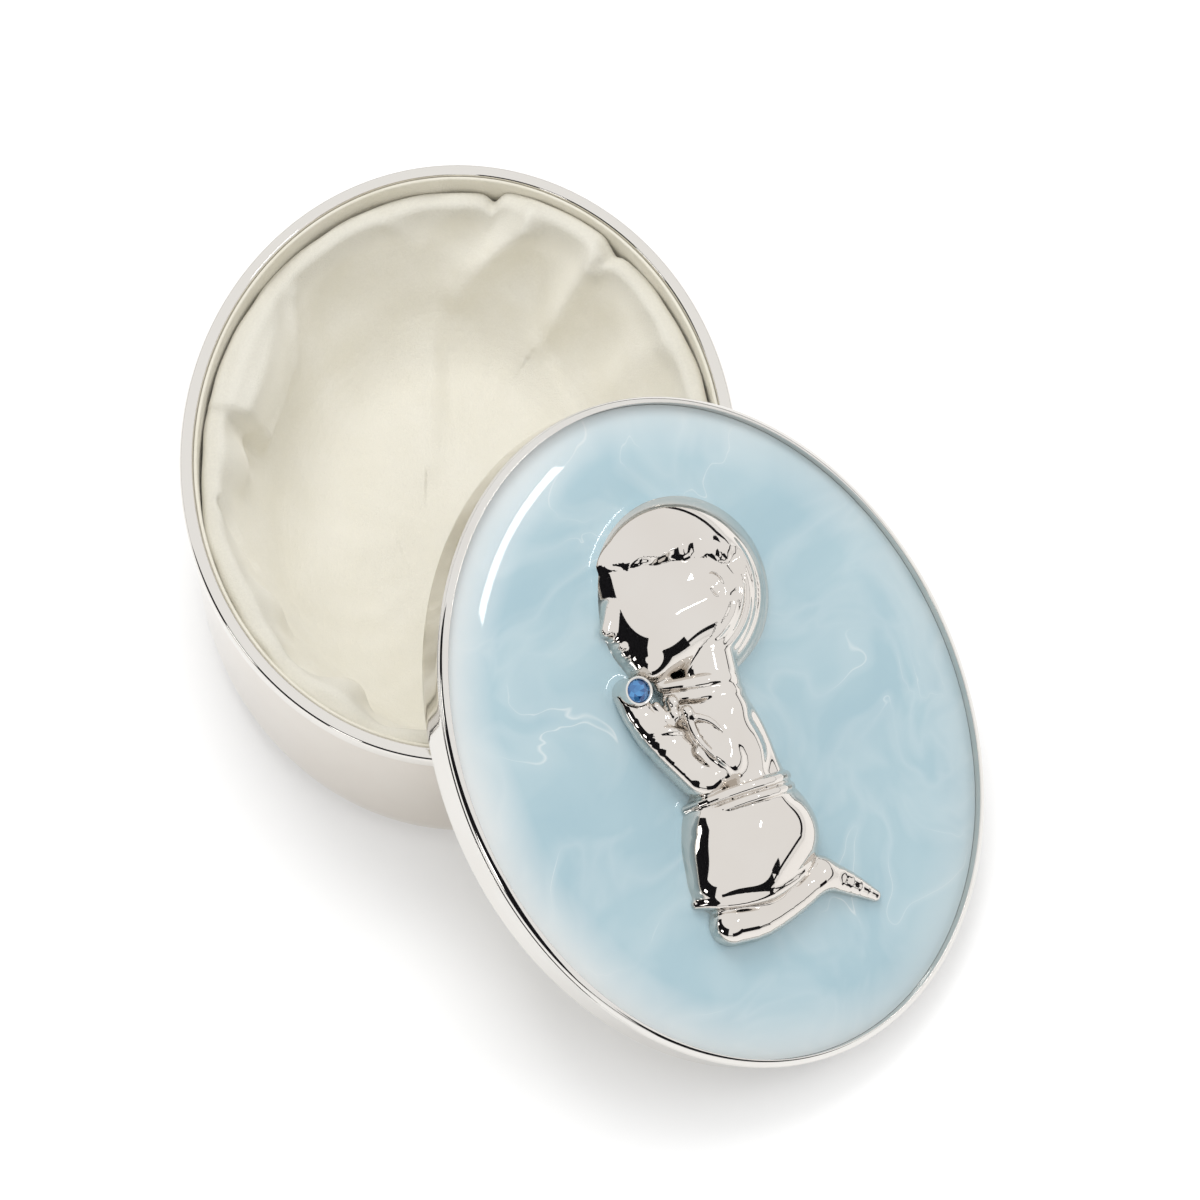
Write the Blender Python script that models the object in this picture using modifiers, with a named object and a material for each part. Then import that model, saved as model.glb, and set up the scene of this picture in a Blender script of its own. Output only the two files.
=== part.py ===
# Oval baby keepsake box, with its lid taken off and leaning on the box's rim.
# Metres, +Z up. The origin is the centre of the box's flat underside, the long axis is Y.
import math

import bmesh
import bpy
from mathutils import Matrix, Vector

MM = 0.001

# Whole box
BOX_LENGTH = 80.0 * MM
BOX_WIDTH = 66.0 * MM
BOX_HEIGHT = 26.0 * MM
FIT_GAP = 0.3 * MM
MERGE_DISTANCE = 0.01 * MM
ROUND_STEPS = 72

# Silver cup
WALL = 1.6 * MM
FLOOR = 2.0 * MM
RIM_ROUND = 0.4 * MM
RIM_BAND = 1.9 * MM
RIM_STEP = 0.25 * MM
CORNER_INSET = 6.0 * MM
CORNER_HEIGHT = 7.0 * MM
CORNER_STEPS = 5

# Velvet strip round the inner wall
STRIP_THICK = 0.9 * MM
STRIP_DROP = 1.7 * MM
STRIP_ROUND = 0.3 * MM

# Stiff oval card on the floor of the cup
CARD_THICK = 0.6 * MM

# Gathered velvet sheet
CLOTH_THICK = 0.9 * MM
CLOTH_EDGE_THICK = 2.2 * MM
CLOTH_DROP = 3.4 * MM
CLOTH_EDGE_WAVE = 0.7 * MM
PUCKER_DEPTH = 0.55 * MM
PUCKER_COUNTS = (9, 14, 23)
PUCKER_PHASES = (0.4, 2.1, 4.4)
PUCKER_SHARES = (0.5, 0.3, 0.2)
CLOTH_ROOM = 0.2 * MM
FLOOR_CROWN = 0.9 * MM
FLOOR_CROWN_INSET = 28.0 * MM
FLOOR_FOLD = 0.5 * MM
CLOTH_REACH = 14.0 * MM
CLOTH_SLOPE_SHARES = ((0.107, 0.724), (0.346, 0.274), (0.583, 0.059))
CLOTH_SLOPE_LEANS = (math.radians(23), math.radians(23), math.radians(56))
CLOTH_SLOPE_PUCKER_SHARES = (0.9, 0.6, 0.3)

# Lid
LID_HEIGHT = 6.1 * MM
LID_WALL = 1.2 * MM
BEAD_WIDTH = 0.9 * MM
BEAD_RISE = 0.5 * MM
ENAMEL_THICK = 0.7 * MM
ENAMEL_SIDE_GAP = 0.3 * MM
ENAMEL_DOME = 0.3 * MM
PLATE_THICK = 0.8 * MM
LIP_DEPTH = 1.0 * MM
LIP_THICK = 0.8 * MM
LIP_CLEARANCE = 0.3 * MM
LID_EDGE_ROUND = 0.25 * MM
LID_CARD_THICK = 0.6 * MM

# How the lid leans: its tilt, the way it faces, its turn in its own plane, its sideways place
LEAN_TILT = math.radians(29.5)
LEAN_HEADING = math.radians(-38.1)
LID_TURN = math.radians(-23.2)
LEAN_SIDE = -11.3 * MM
LEAN_SEARCH_STEPS = 40

# Kneeling child. The shares of its length are places and radii: along, across, above the enamel
FIGURE_LENGTH = 50.0 * MM
FIGURE_TURN = math.radians(-1.2)
FIGURE_PLACE = (1.36 * MM, -0.86 * MM)
FIGURE_VOXEL_SHARE = 0.018
FIGURE_BALL_RINGS = 12
FIGURE_BALL_SIDES = 16
HEAD_AT_SHARES = (-0.348, 0.070, 0.018)
HEAD_RADII_SHARES = (0.204, 0.202, 0.124)
FACE_AT_SHARES = (-0.304, -0.048, 0.018)
FACE_RADII_SHARES = (0.148, 0.112, 0.088)
NECK_LINE_SHARES = ((-0.190, 0.056, 0.024, 0.092), (-0.090, 0.024, 0.020, 0.100))
CHEST_AT_SHARES = (0.004, -0.006, 0.016)
CHEST_RADII_SHARES = (0.148, 0.128, 0.096)
BIB_AT_SHARES = (-0.032, -0.092, 0.012)
BIB_RADII_SHARES = (0.120, 0.084, 0.052)
BACK_LINE_SHARES = ((-0.040, 0.028, 0.016, 0.092), (0.140, 0.028, 0.016, 0.100))
SLEEVE_LINE_SHARES = (
    (-0.024, 0.020, 0.068, 0.052),
    (0.056, -0.052, 0.060, 0.054),
    (0.072, -0.088, 0.044, 0.046),
)
FOREARM_LINE_SHARES = (
    (0.068, -0.100, 0.040, 0.044),
    (-0.048, -0.152, 0.040, 0.038),
    (-0.156, -0.180, 0.036, 0.028),
)
BELT_LINE_SHARES = (
    (0.108, -0.128, 0.016, 0.018),
    (0.114, -0.086, 0.078, 0.018),
    (0.126, -0.008, 0.110, 0.018),
    (0.138, 0.076, 0.084, 0.018),
    (0.148, 0.120, 0.016, 0.018),
)
HIP_AT_SHARES = (0.252, -0.034, 0.016)
HIP_RADII_SHARES = (0.168, 0.180, 0.112)
THIGH_LINE_SHARES = ((0.200, -0.104, 0.024, 0.080), (0.368, -0.156, 0.024, 0.078))
SHIN_LINE_SHARES = (
    (0.400, -0.148, 0.016, 0.064),
    (0.404, 0.000, 0.016, 0.062),
    (0.388, 0.108, 0.020, 0.052),
    (0.480, 0.200, 0.012, 0.018),
)

# Stone and its setting
STONE_RADIUS = 1.25 * MM
STONE_SIDES = 16
STONE_CROWN = 0.5 * MM
STONE_DEPTH = 0.7 * MM
STONE_TABLE_SHARE = 0.55
BEZEL_WALL = 0.35 * MM
BEZEL_LIP = 0.15 * MM
BEZEL_HEIGHT = 3.6 * MM
BEZEL_STEPS = 24
STONE_AT_SHARES = (-0.198, -0.164, 0)

SILVER = (0.86, 0.85, 0.83)
VELVET = (0.93, 0.90, 0.79)
CARD = (0.78, 0.74, 0.64)
ENAMEL = (0.66, 0.83, 0.90)
STONE = (0.10, 0.30, 0.62)


def clear_scene():
    for item in list(bpy.data.objects):
        bpy.data.objects.remove(item, do_unlink=True)


def make_collection(name):
    group = bpy.data.collections.new(name)
    bpy.context.scene.collection.children.link(group)
    return group


def make_material(name, colour, roughness, metallic=0.0):
    material = bpy.data.materials.new(name)
    material.use_nodes = True
    shader = material.node_tree.nodes["Principled BSDF"]
    shader.inputs["Base Color"].default_value = (*colour, 1.0)
    shader.inputs["Roughness"].default_value = roughness
    shader.inputs["Metallic"].default_value = metallic
    return material


def add_object(name, mesh, material, group, parent=None, smooth_angle=35.0):
    piece = bpy.data.objects.new(name, mesh)
    group.objects.link(piece)
    mesh.materials.clear()
    mesh.materials.append(material)
    mesh.shade_smooth()
    mesh.set_sharp_from_angle(angle=math.radians(smooth_angle))
    if parent is not None:
        piece.parent = parent
    return piece


def oval_point(angle, half_width, half_length, inset):
    # A point of the oval, moved straight inwards by inset.
    normal = Vector((math.cos(angle) * half_length, math.sin(angle) * half_width))
    normal.normalize()
    x = half_width * math.cos(angle) - normal.x * inset
    y = half_length * math.sin(angle) - normal.y * inset
    return x, y


def oval_loft(name, half_width, half_length, rows, closed_ring=False):
    # Skins rows of (inset, height) ovals. A row may be a function of the angle.
    shape = bmesh.new()
    rings = []
    for row in rows:
        ring = []
        for step in range(ROUND_STEPS):
            angle = math.tau * step / ROUND_STEPS
            inset, height = row(angle) if callable(row) else row
            x, y = oval_point(angle, half_width, half_length, inset)
            ring.append(shape.verts.new((x, y, height)))
        rings.append(ring)
    pairs = list(zip(rings, rings[1:]))
    if closed_ring:
        pairs.append((rings[-1], rings[0]))
    for lower, upper in pairs:
        for step in range(ROUND_STEPS):
            following = (step + 1) % ROUND_STEPS
            shape.faces.new((lower[step], lower[following], upper[following], upper[step]))
    if not closed_ring:
        shape.faces.new(list(reversed(rings[0])))
        shape.faces.new(rings[-1])
    bmesh.ops.recalc_face_normals(shape, faces=shape.faces)
    mesh = bpy.data.meshes.new(name)
    shape.to_mesh(mesh)
    shape.free()
    return mesh


def arc_rows(inset_from, height_from, inset_to, height_to, steps, bulge_first):
    # A quarter of an ellipse between two rows; bulge_first moves the inset before the height.
    rows = []
    for step in range(1, steps):
        turn = math.pi / 2 * step / steps
        early = math.sin(turn)
        late = 1 - math.cos(turn)
        inset_part, height_part = (early, late) if bulge_first else (late, early)
        inset = inset_from + (inset_to - inset_from) * inset_part
        height = height_from + (height_to - height_from) * height_part
        rows.append((inset, height))
    return rows


def cup_rows():
    inner_corner = CORNER_INSET - WALL / 2
    inner_height = CORNER_HEIGHT - FLOOR / 2
    band_foot = BOX_HEIGHT - RIM_BAND
    rows = [(RIM_STEP + CORNER_INSET, 0)]
    rows += arc_rows(RIM_STEP + CORNER_INSET, 0, RIM_STEP, CORNER_HEIGHT, CORNER_STEPS, True)
    rows += [(RIM_STEP, CORNER_HEIGHT), (RIM_STEP, band_foot - RIM_STEP)]
    rows += [(0, band_foot), (0, BOX_HEIGHT - RIM_ROUND)]
    rows += arc_rows(0, BOX_HEIGHT - RIM_ROUND, RIM_ROUND, BOX_HEIGHT, 3, False)
    rows += [(RIM_ROUND, BOX_HEIGHT), (WALL - RIM_ROUND, BOX_HEIGHT)]
    rows += arc_rows(WALL - RIM_ROUND, BOX_HEIGHT, WALL, BOX_HEIGHT - RIM_ROUND, 3, True)
    rows += [(WALL, BOX_HEIGHT - RIM_ROUND), (WALL, FLOOR + inner_height)]
    rows += arc_rows(WALL, FLOOR + inner_height, WALL + inner_corner, FLOOR, CORNER_STEPS, False)
    rows += [(WALL + inner_corner, FLOOR)]
    return rows


def strip_rows():
    outer = WALL + FIT_GAP
    inner = outer + STRIP_THICK
    top = BOX_HEIGHT - STRIP_DROP
    foot = CORNER_HEIGHT + FLOOR
    return [
        (outer, foot),
        (outer, top - STRIP_ROUND),
        (outer + STRIP_ROUND, top),
        (inner - STRIP_ROUND, top),
        (inner, top - STRIP_ROUND),
        (inner, foot),
    ]


def card_rows():
    inset = WALL + CORNER_INSET
    foot = FLOOR + FIT_GAP
    return [(inset, foot), (inset, foot + CARD_THICK)]


def pucker(angle):
    # The gathers of the sheet's edge, from 0 to 1.
    total = 0.5
    for count, phase, share in zip(PUCKER_COUNTS, PUCKER_PHASES, PUCKER_SHARES):
        total += 0.5 * share * math.sin(count * angle + phase)
    return total


def cloth_rows():
    # The sheet hangs in a slope from its rolled edge to the floor.
    outer = WALL + FIT_GAP + STRIP_THICK + CLOTH_ROOM + FIT_GAP
    top = BOX_HEIGHT - CLOTH_DROP
    floor_foot = FLOOR + FIT_GAP + CARD_THICK + FIT_GAP
    floor_top = floor_foot + CLOTH_THICK
    edge_inner = outer + CLOTH_EDGE_THICK
    edge_round = CLOTH_EDGE_THICK / 4
    floor_inset = edge_inner + CLOTH_REACH

    def gather(inset, height, depth_share, wave_share):
        def row(angle):
            fold = pucker(angle)
            lift = (fold - 0.5) * CLOTH_EDGE_WAVE * 2 * wave_share
            return inset + fold * PUCKER_DEPTH * 2 * depth_share, height + lift
        return row

    def ripple(inset, height, rise):
        def row(angle):
            return inset, height + rise * (0.5 + 0.5 * math.sin(3 * angle + 0.9) * math.cos(angle))
        return row

    under = []
    over = []
    for shares, lean, depth_share in zip(
            CLOTH_SLOPE_SHARES, CLOTH_SLOPE_LEANS, CLOTH_SLOPE_PUCKER_SHARES):
        inset = edge_inner + shares[0] * CLOTH_REACH
        height = floor_top + shares[1] * (top - floor_top)
        over.append(gather(inset, height, depth_share, 0))
        inset -= CLOTH_THICK * math.cos(lean)
        height -= CLOTH_THICK * math.sin(lean)
        under.insert(0, gather(inset, height, depth_share, 0))
    return [
        (floor_inset, floor_foot),
        *under,
        gather(outer, top - 3 * edge_round, 0.6, 1),
        gather(outer + edge_round / 3, top - edge_round, 0.8, 1),
        gather(outer + edge_round, top, 0.9, 1),
        gather(edge_inner - edge_round, top, 1, 1),
        gather(edge_inner, top - edge_round, 1, 1),
        gather(edge_inner, top - 4 * edge_round, 1, 1),
        *over,
        ripple(floor_inset, floor_top, FLOOR_FOLD),
        (FLOOR_CROWN_INSET, floor_top + FLOOR_CROWN),
    ]


def lid_levels():
    plate_top = LID_HEIGHT - BEAD_RISE - ENAMEL_THICK - FIT_GAP
    plate_foot = plate_top - PLATE_THICK
    lining_top = plate_foot - FIT_GAP
    return plate_top, plate_foot, lining_top, lining_top - LID_CARD_THICK


def lid_rows():
    # From the middle of the plate's top, over the bead and the flank, to the plate's underside.
    plate_top, plate_foot, _, _ = lid_levels()
    lip_outer = WALL + LIP_CLEARANCE
    lip_inner = lip_outer + LIP_THICK
    half_bead = BEAD_WIDTH / 2
    bead_foot = LID_HEIGHT - half_bead
    rows = [(BEAD_WIDTH + half_bead, plate_top), (BEAD_WIDTH, plate_top), (BEAD_WIDTH, bead_foot)]
    rows += arc_rows(BEAD_WIDTH, bead_foot, half_bead, LID_HEIGHT, 4, False)
    rows += [(half_bead, LID_HEIGHT)]
    rows += arc_rows(half_bead, LID_HEIGHT, 0, bead_foot, 4, True)
    rows += [(0, bead_foot), (0, LID_EDGE_ROUND), (LID_EDGE_ROUND, 0), (LID_WALL - LID_EDGE_ROUND, 0)]
    rows += [(LID_WALL, LID_EDGE_ROUND), (LID_WALL, plate_foot), (lip_outer, plate_foot)]
    rows += [(lip_outer, LID_EDGE_ROUND - LIP_DEPTH), (lip_outer + LID_EDGE_ROUND, -LIP_DEPTH)]
    rows += [(lip_inner - LID_EDGE_ROUND, -LIP_DEPTH), (lip_inner, LID_EDGE_ROUND - LIP_DEPTH)]
    rows += [(lip_inner, plate_foot)]
    return rows


def enamel_rows():
    top = LID_HEIGHT - BEAD_RISE
    inset = BEAD_WIDTH + ENAMEL_SIDE_GAP
    return [
        (inset, top - ENAMEL_THICK),
        (inset, top - ENAMEL_DOME),
        (inset + BEAD_WIDTH / 2, top - ENAMEL_DOME / 3),
        (inset + BEAD_WIDTH, top),
    ]


def lid_card_rows():
    _, _, top, foot = lid_levels()
    inset = WALL + LIP_CLEARANCE + LIP_THICK + FIT_GAP
    return [(inset, foot), (inset, top)]


def lid_matrix(along):
    turn = Matrix.Rotation(LEAN_HEADING, 4, "Z") @ Matrix.Rotation(LEAN_TILT, 4, "Y")
    turn = turn @ Matrix.Rotation(LID_TURN - math.pi / 2, 4, "Z")
    heading = Vector((math.cos(LEAN_HEADING), math.sin(LEAN_HEADING), 0))
    sideways = Vector((-heading.y, heading.x, 0))
    lowest = 0
    for inset, height in lid_rows():
        for step in range(ROUND_STEPS):
            x, y = oval_point(math.tau * step / ROUND_STEPS, BOX_WIDTH / 2, BOX_LENGTH / 2, inset)
            lowest = min(lowest, (turn @ Vector((x, y, height))).z)
    place = heading * along + sideways * LEAN_SIDE - Vector((0, 0, lowest))
    return Matrix.Translation(place) @ turn


def lid_underside(x, y):
    # Height of the lid's underside at a place in its own plane, or None outside it.
    reach = math.hypot(x / (BOX_WIDTH / 2), y / (BOX_LENGTH / 2))
    inset = (1 - reach) * BOX_WIDTH / 2
    if inset < -FIT_GAP:
        return None
    lip_inner = WALL + LIP_CLEARANCE + LIP_THICK + 2 * FIT_GAP
    return -LIP_DEPTH if inset < lip_inner else lid_levels()[3]


def rim_is_clear(along):
    back = lid_matrix(along).inverted()
    for inset, height in ((0, BOX_HEIGHT - RIM_ROUND), (RIM_ROUND, BOX_HEIGHT), (WALL, BOX_HEIGHT)):
        for step in range(ROUND_STEPS):
            x, y = oval_point(math.tau * step / ROUND_STEPS, BOX_WIDTH / 2, BOX_LENGTH / 2, inset)
            spot = back @ Vector((x, y, height))
            under = lid_underside(spot.x, spot.y)
            if under is not None and spot.z > under - FIT_GAP:
                return False
    return True


def leaning_lid_matrix():
    # The lid is slid towards the box until its underside rests on the rim.
    near = BOX_WIDTH / 2
    far = BOX_LENGTH * 2
    for _ in range(LEAN_SEARCH_STEPS):
        middle = (near + far) / 2
        if rim_is_clear(middle):
            far = middle
        else:
            near = middle
    return lid_matrix(far)


def ball(shape, place, radii):
    made = bmesh.ops.create_uvsphere(
        shape, u_segments=FIGURE_BALL_SIDES, v_segments=FIGURE_BALL_RINGS, radius=1)
    for vertex in made["verts"]:
        spot = Vector(place) + Vector(a * b for a, b in zip(vertex.co, radii))
        vertex.co = spot * FIGURE_LENGTH


def limb(shape, line):
    # A run of tapered segments with ball joints, given as (along, across, above, radius).
    for first, second in zip(line, line[1:]):
        start = Vector(first[:3])
        end = Vector(second[:3])
        steps = max(2, math.ceil((end - start).length / (first[3] / 2)))
        for step in range(steps + 1):
            share = step / steps
            radius = first[3] + (second[3] - first[3]) * share
            ball(shape, start.lerp(end, share), (radius, radius, radius))


def figure_matrix():
    # The figure's frame in the lid's, turned and placed on top of the enamel
    along, across = FIGURE_PLACE
    place = Matrix.Translation((-across, along, LID_HEIGHT - BEAD_RISE + FIT_GAP))
    return place @ Matrix.Rotation(FIGURE_TURN + math.pi / 2, 4, "Z")


def stone_place():
    return figure_matrix() @ (Vector(STONE_AT_SHARES) * FIGURE_LENGTH)


def figure_cutter(group, lid_frame, floor_level):
    shape = bmesh.new()
    bmesh.ops.create_cube(shape, size=1)
    span = BOX_LENGTH
    for vertex in shape.verts:
        vertex.co = Vector((vertex.co.x * span, vertex.co.y * span, (vertex.co.z - 0.5) * span))
        vertex.co.z += floor_level
    mesh = bpy.data.meshes.new("figure_cutter")
    shape.to_mesh(mesh)
    shape.free()
    cutter = bpy.data.objects.new("figure_cutter", mesh)
    group.objects.link(cutter)
    cutter.parent = lid_frame
    cutter.hide_render = True
    cutter.display_type = "WIRE"
    return cutter


def setting_cutter(group, lid_frame, reach):
    # The round clear space that the stone's setting stands in.
    shape = bmesh.new()
    radius = STONE_RADIUS + FIT_GAP + BEZEL_WALL + FIT_GAP
    bmesh.ops.create_cone(
        shape, cap_ends=True, segments=BEZEL_STEPS, radius1=radius, radius2=radius, depth=2 * reach)
    mesh = bpy.data.meshes.new("setting_cutter")
    shape.to_mesh(mesh)
    shape.free()
    cutter = bpy.data.objects.new("setting_cutter", mesh)
    group.objects.link(cutter)
    cutter.parent = lid_frame
    cutter.location = stone_place()
    cutter.hide_render = True
    cutter.display_type = "WIRE"
    return cutter


def cut(piece, cutter, name):
    modifier = piece.modifiers.new(name, "BOOLEAN")
    modifier.operation = "DIFFERENCE"
    modifier.solver = "EXACT"
    modifier.object = cutter


def build_figure(group, cutters, lid_frame, material):
    # The child is laid out head to knee along the lid, facing across it.
    shape = bmesh.new()
    ball(shape, HEAD_AT_SHARES, HEAD_RADII_SHARES)
    ball(shape, FACE_AT_SHARES, FACE_RADII_SHARES)
    ball(shape, CHEST_AT_SHARES, CHEST_RADII_SHARES)
    ball(shape, BIB_AT_SHARES, BIB_RADII_SHARES)
    ball(shape, HIP_AT_SHARES, HIP_RADII_SHARES)
    limb(shape, NECK_LINE_SHARES)
    limb(shape, BACK_LINE_SHARES)
    limb(shape, SLEEVE_LINE_SHARES)
    limb(shape, FOREARM_LINE_SHARES)
    limb(shape, BELT_LINE_SHARES)
    limb(shape, THIGH_LINE_SHARES)
    limb(shape, SHIN_LINE_SHARES)
    place = figure_matrix()
    floor_level = place.translation.z
    for vertex in shape.verts:
        vertex.co = place @ vertex.co
    mesh = bpy.data.meshes.new("praying_child")
    shape.to_mesh(mesh)
    shape.free()
    figure = add_object("praying_child", mesh, material, group, lid_frame, 60.0)
    fuse = figure.modifiers.new("fuse", "REMESH")
    fuse.mode = "VOXEL"
    fuse.voxel_size = FIGURE_LENGTH * FIGURE_VOXEL_SHARE
    fuse.use_smooth_shade = True
    cut(figure, figure_cutter(cutters, lid_frame, floor_level), "flat_back")
    cut(figure, setting_cutter(cutters, lid_frame, BOX_HEIGHT), "setting_room")
    return figure


def turned(name, profile, steps, material, group, parent, place):
    # Skins a closed profile of (radius, height) points round its own axis.
    shape = bmesh.new()
    points = [shape.verts.new((radius, 0, height)) for radius, height in profile]
    for first, second in zip(points, points[1:]):
        shape.edges.new((first, second))
    if profile[0][0] > 0:
        shape.edges.new((points[-1], points[0]))
    mesh = bpy.data.meshes.new(name)
    shape.to_mesh(mesh)
    shape.free()
    piece = add_object(name, mesh, material, group, parent)
    piece.location = place
    screw = piece.modifiers.new("turn", "SCREW")
    screw.steps = steps
    screw.render_steps = steps
    screw.use_merge_vertices = True
    screw.merge_threshold = MERGE_DISTANCE
    return piece


def build_stone(group, lid_frame, silver, blue):
    foot = LID_HEIGHT - BEAD_RISE + FIT_GAP
    top = foot + BEZEL_HEIGHT
    inner = STONE_RADIUS + FIT_GAP
    outer = inner + BEZEL_WALL
    place = stone_place()
    place.z = 0
    seat = top - STONE_CROWN - STONE_DEPTH - FIT_GAP
    bezel = (
        (0, seat),
        (inner, seat),
        (inner, top - BEZEL_LIP),
        (inner + BEZEL_LIP, top),
        (outer - BEZEL_LIP, top),
        (outer, top - BEZEL_LIP),
        (outer, foot),
        (0, foot),
    )
    turned("stone_setting", bezel, BEZEL_STEPS, silver, group, lid_frame, place)
    girdle = top - STONE_CROWN
    table = STONE_RADIUS * STONE_TABLE_SHARE
    stone = (
        (0, girdle + STONE_CROWN),
        (table, girdle + STONE_CROWN),
        (STONE_RADIUS, girdle),
        (0, girdle - STONE_DEPTH),
    )
    turned("blue_stone", stone, STONE_SIDES, blue, group, lid_frame, place)


def build_box():
    group = make_collection("baby_keepsake_box")
    cutters = make_collection("cutters")
    cutters.hide_render = True
    half = (BOX_WIDTH / 2, BOX_LENGTH / 2)
    silver = make_material("silver_plate", SILVER, 0.08, 1.0)
    velvet = make_material("cream_velvet", VELVET, 0.9)
    card = make_material("lining_card", CARD, 0.8)
    lid_silver = make_material("lid_silver", SILVER, 0.08, 1.0)
    figure_silver = make_material("figure_silver", SILVER, 0.06, 1.0)
    setting_silver = make_material("setting_silver", SILVER, 0.1, 1.0)
    strip_velvet = make_material("strip_velvet", VELVET, 0.9)
    lid_velvet = make_material("lid_velvet", VELVET, 0.9)
    enamel = make_material("pearl_enamel", ENAMEL, 0.15)
    blue = make_material("blue_glass", STONE, 0.03)

    add_object("box_body", oval_loft("box_body", *half, cup_rows()), silver, group)
    strip = oval_loft("wall_lining", *half, strip_rows(), closed_ring=True)
    add_object("wall_lining", strip, strip_velvet, group)
    add_object("floor_card", oval_loft("floor_card", *half, card_rows()), card, group)
    add_object("gathered_lining", oval_loft("gathered_lining", *half, cloth_rows()), velvet, group)

    lid_frame = bpy.data.objects.new("lid_frame", None)
    group.objects.link(lid_frame)
    lid_frame.matrix_world = leaning_lid_matrix()
    add_object("lid_shell", oval_loft("lid_shell", *half, lid_rows()), lid_silver, group, lid_frame)
    panel = oval_loft("enamel_panel", *half, enamel_rows())
    add_object("enamel_panel", panel, enamel, group, lid_frame)
    lining = oval_loft("lid_lining", *half, lid_card_rows())
    add_object("lid_lining", lining, lid_velvet, group, lid_frame)
    build_figure(group, cutters, lid_frame, figure_silver)
    build_stone(group, lid_frame, setting_silver, blue)


clear_scene()
build_box()
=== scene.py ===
# Looks of an oval silver-plated keepsake box, its lid leaning on the rim.
import math

import bmesh
import bpy
import numpy as np
from mathutils import Matrix, Vector


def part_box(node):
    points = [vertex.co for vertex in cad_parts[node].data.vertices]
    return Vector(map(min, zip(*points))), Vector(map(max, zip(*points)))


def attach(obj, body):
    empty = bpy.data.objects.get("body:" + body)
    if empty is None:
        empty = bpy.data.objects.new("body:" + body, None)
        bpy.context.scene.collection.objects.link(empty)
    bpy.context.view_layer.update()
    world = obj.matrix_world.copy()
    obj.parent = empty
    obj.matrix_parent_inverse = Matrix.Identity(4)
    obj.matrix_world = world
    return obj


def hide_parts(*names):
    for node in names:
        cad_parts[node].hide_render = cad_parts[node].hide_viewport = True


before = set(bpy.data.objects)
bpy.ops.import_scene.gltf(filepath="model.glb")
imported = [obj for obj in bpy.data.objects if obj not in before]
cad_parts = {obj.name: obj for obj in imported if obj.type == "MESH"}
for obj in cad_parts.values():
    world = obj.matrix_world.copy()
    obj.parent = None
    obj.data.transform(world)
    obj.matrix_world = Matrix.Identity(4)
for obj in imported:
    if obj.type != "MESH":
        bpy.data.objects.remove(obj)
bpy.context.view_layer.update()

MM = 0.001

# Sizes shared with the solids
LOW, HIGH = (Vector(corner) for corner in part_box("box_body"))
HALF_WIDTH = (HIGH.x - LOW.x) / 2
HALF_LENGTH = (HIGH.y - LOW.y) / 2
BOX_HEIGHT = HIGH.z
WALL = 1.6 * MM
FLOOR = 2.0 * MM
RIM_BAND = 1.9 * MM
RIM_STEP = 0.25 * MM
FIT_GAP = 0.3 * MM
STRIP_DROP = 0.35 * MM
STRIP_INNER = WALL + 0.48 * MM
CLOTH_DROP = 2.5 * MM
CLOTH_FOOT = FLOOR + 1.2 * MM
LID_HEIGHT = 6.1 * MM
LID_WALL = 1.2 * MM
BEAD_WIDTH = 0.9 * MM
BEAD_RISE = 0.5 * MM
PLATE_TOP = 4.6 * MM
PLATE_FOOT = 3.8 * MM
LIP_DEPTH = 1.0 * MM
LIP_OUTER = 1.9 * MM
LIP_INNER = 2.7 * MM
LINING_FOOT = 2.9 * MM
ENAMEL_TOP = LID_HEIGHT - BEAD_RISE
LEAN_TILT = math.radians(29.5)
LEAN_HEADING = math.radians(-38.1)
LID_TURN = math.radians(-23.2)
FIGURE_TURN = math.radians(-1.2)
FIGURE_PLACE = (1.36 * MM, -0.86 * MM)
# The stone's place is in the figure's own frame, in millimetres.
STONE_PLACE = (-9.9, -8.2)
STONE_RADIUS = 1.3 * MM
BEZEL_OUTER = 1.75 * MM
BEZEL_HEIGHT = 3.6 * MM

# Points round each oval
ROUND_STEPS = 288
SHEET_STEPS = 540
ENAMEL_STEPS = 360
# The bead's outer side is a shallow arc from its crest to the groove, at slopes in degrees.
BEAD_ARC = 1.55 * MM
BEAD_CREST = 0.74 * MM
BEAD_SLOPES = (25, 32, 39, 46, 53, 60)
# The enamel sags over its outer band, and its rows shrink to the middle over its core.
ENAMEL_BAND = 8 * MM
ENAMEL_SAG = 0.75 * MM
ENAMEL_CORE = 6 * MM
ENAMEL_ROWS = 150
# It climbs what is cast into it. The reach is in millimetres.
MENISCUS_HEIGHT = 0.24 * MM
MENISCUS_REACH = 0.5

# Camera, fitted to the outlines of the box and the lid in the photograph
CAMERA_AT = (4.0 * MM, -234.0 * MM, 464.6 * MM)
CAMERA_DOWN = math.radians(64.0)
CAMERA_TURN = math.radians(-3.12)
CAMERA_LENS = 126.0

# Linear colours. A velvet has its lighter and its darker side.
CUP_SILVER = (0.70, 0.66, 0.605)
# The rim's brighter silver is a painted highlight on the rim band.
RIM_HIGHLIGHT_SILVER = (0.765, 0.74, 0.70)
LID_SILVER = (0.76, 0.745, 0.715)
FIGURE_SILVER = (0.735, 0.70, 0.66)
SHEET_VELVET = ((0.93, 0.905, 0.825), (0.89, 0.86, 0.76))
STRIP_VELVET = ((0.87, 0.835, 0.735), (0.81, 0.77, 0.65))
LID_VELVET = ((0.86, 0.83, 0.73), (0.80, 0.765, 0.64))
ENAMEL_BLUES = ((0.362, 0.528, 0.596), (0.420, 0.578, 0.634))
ENAMEL_VEIN = (0.700, 0.770, 0.785)
ENAMEL_PALE_EDGE_AND_HIGHLIGHT = (0.780, 0.800, 0.795)
STONE_BLUES = ((0.006, 0.050, 0.200), (0.070, 0.280, 0.600))
CARD_BROWNS = ((0.52, 0.47, 0.36), (0.66, 0.61, 0.49))

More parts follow.
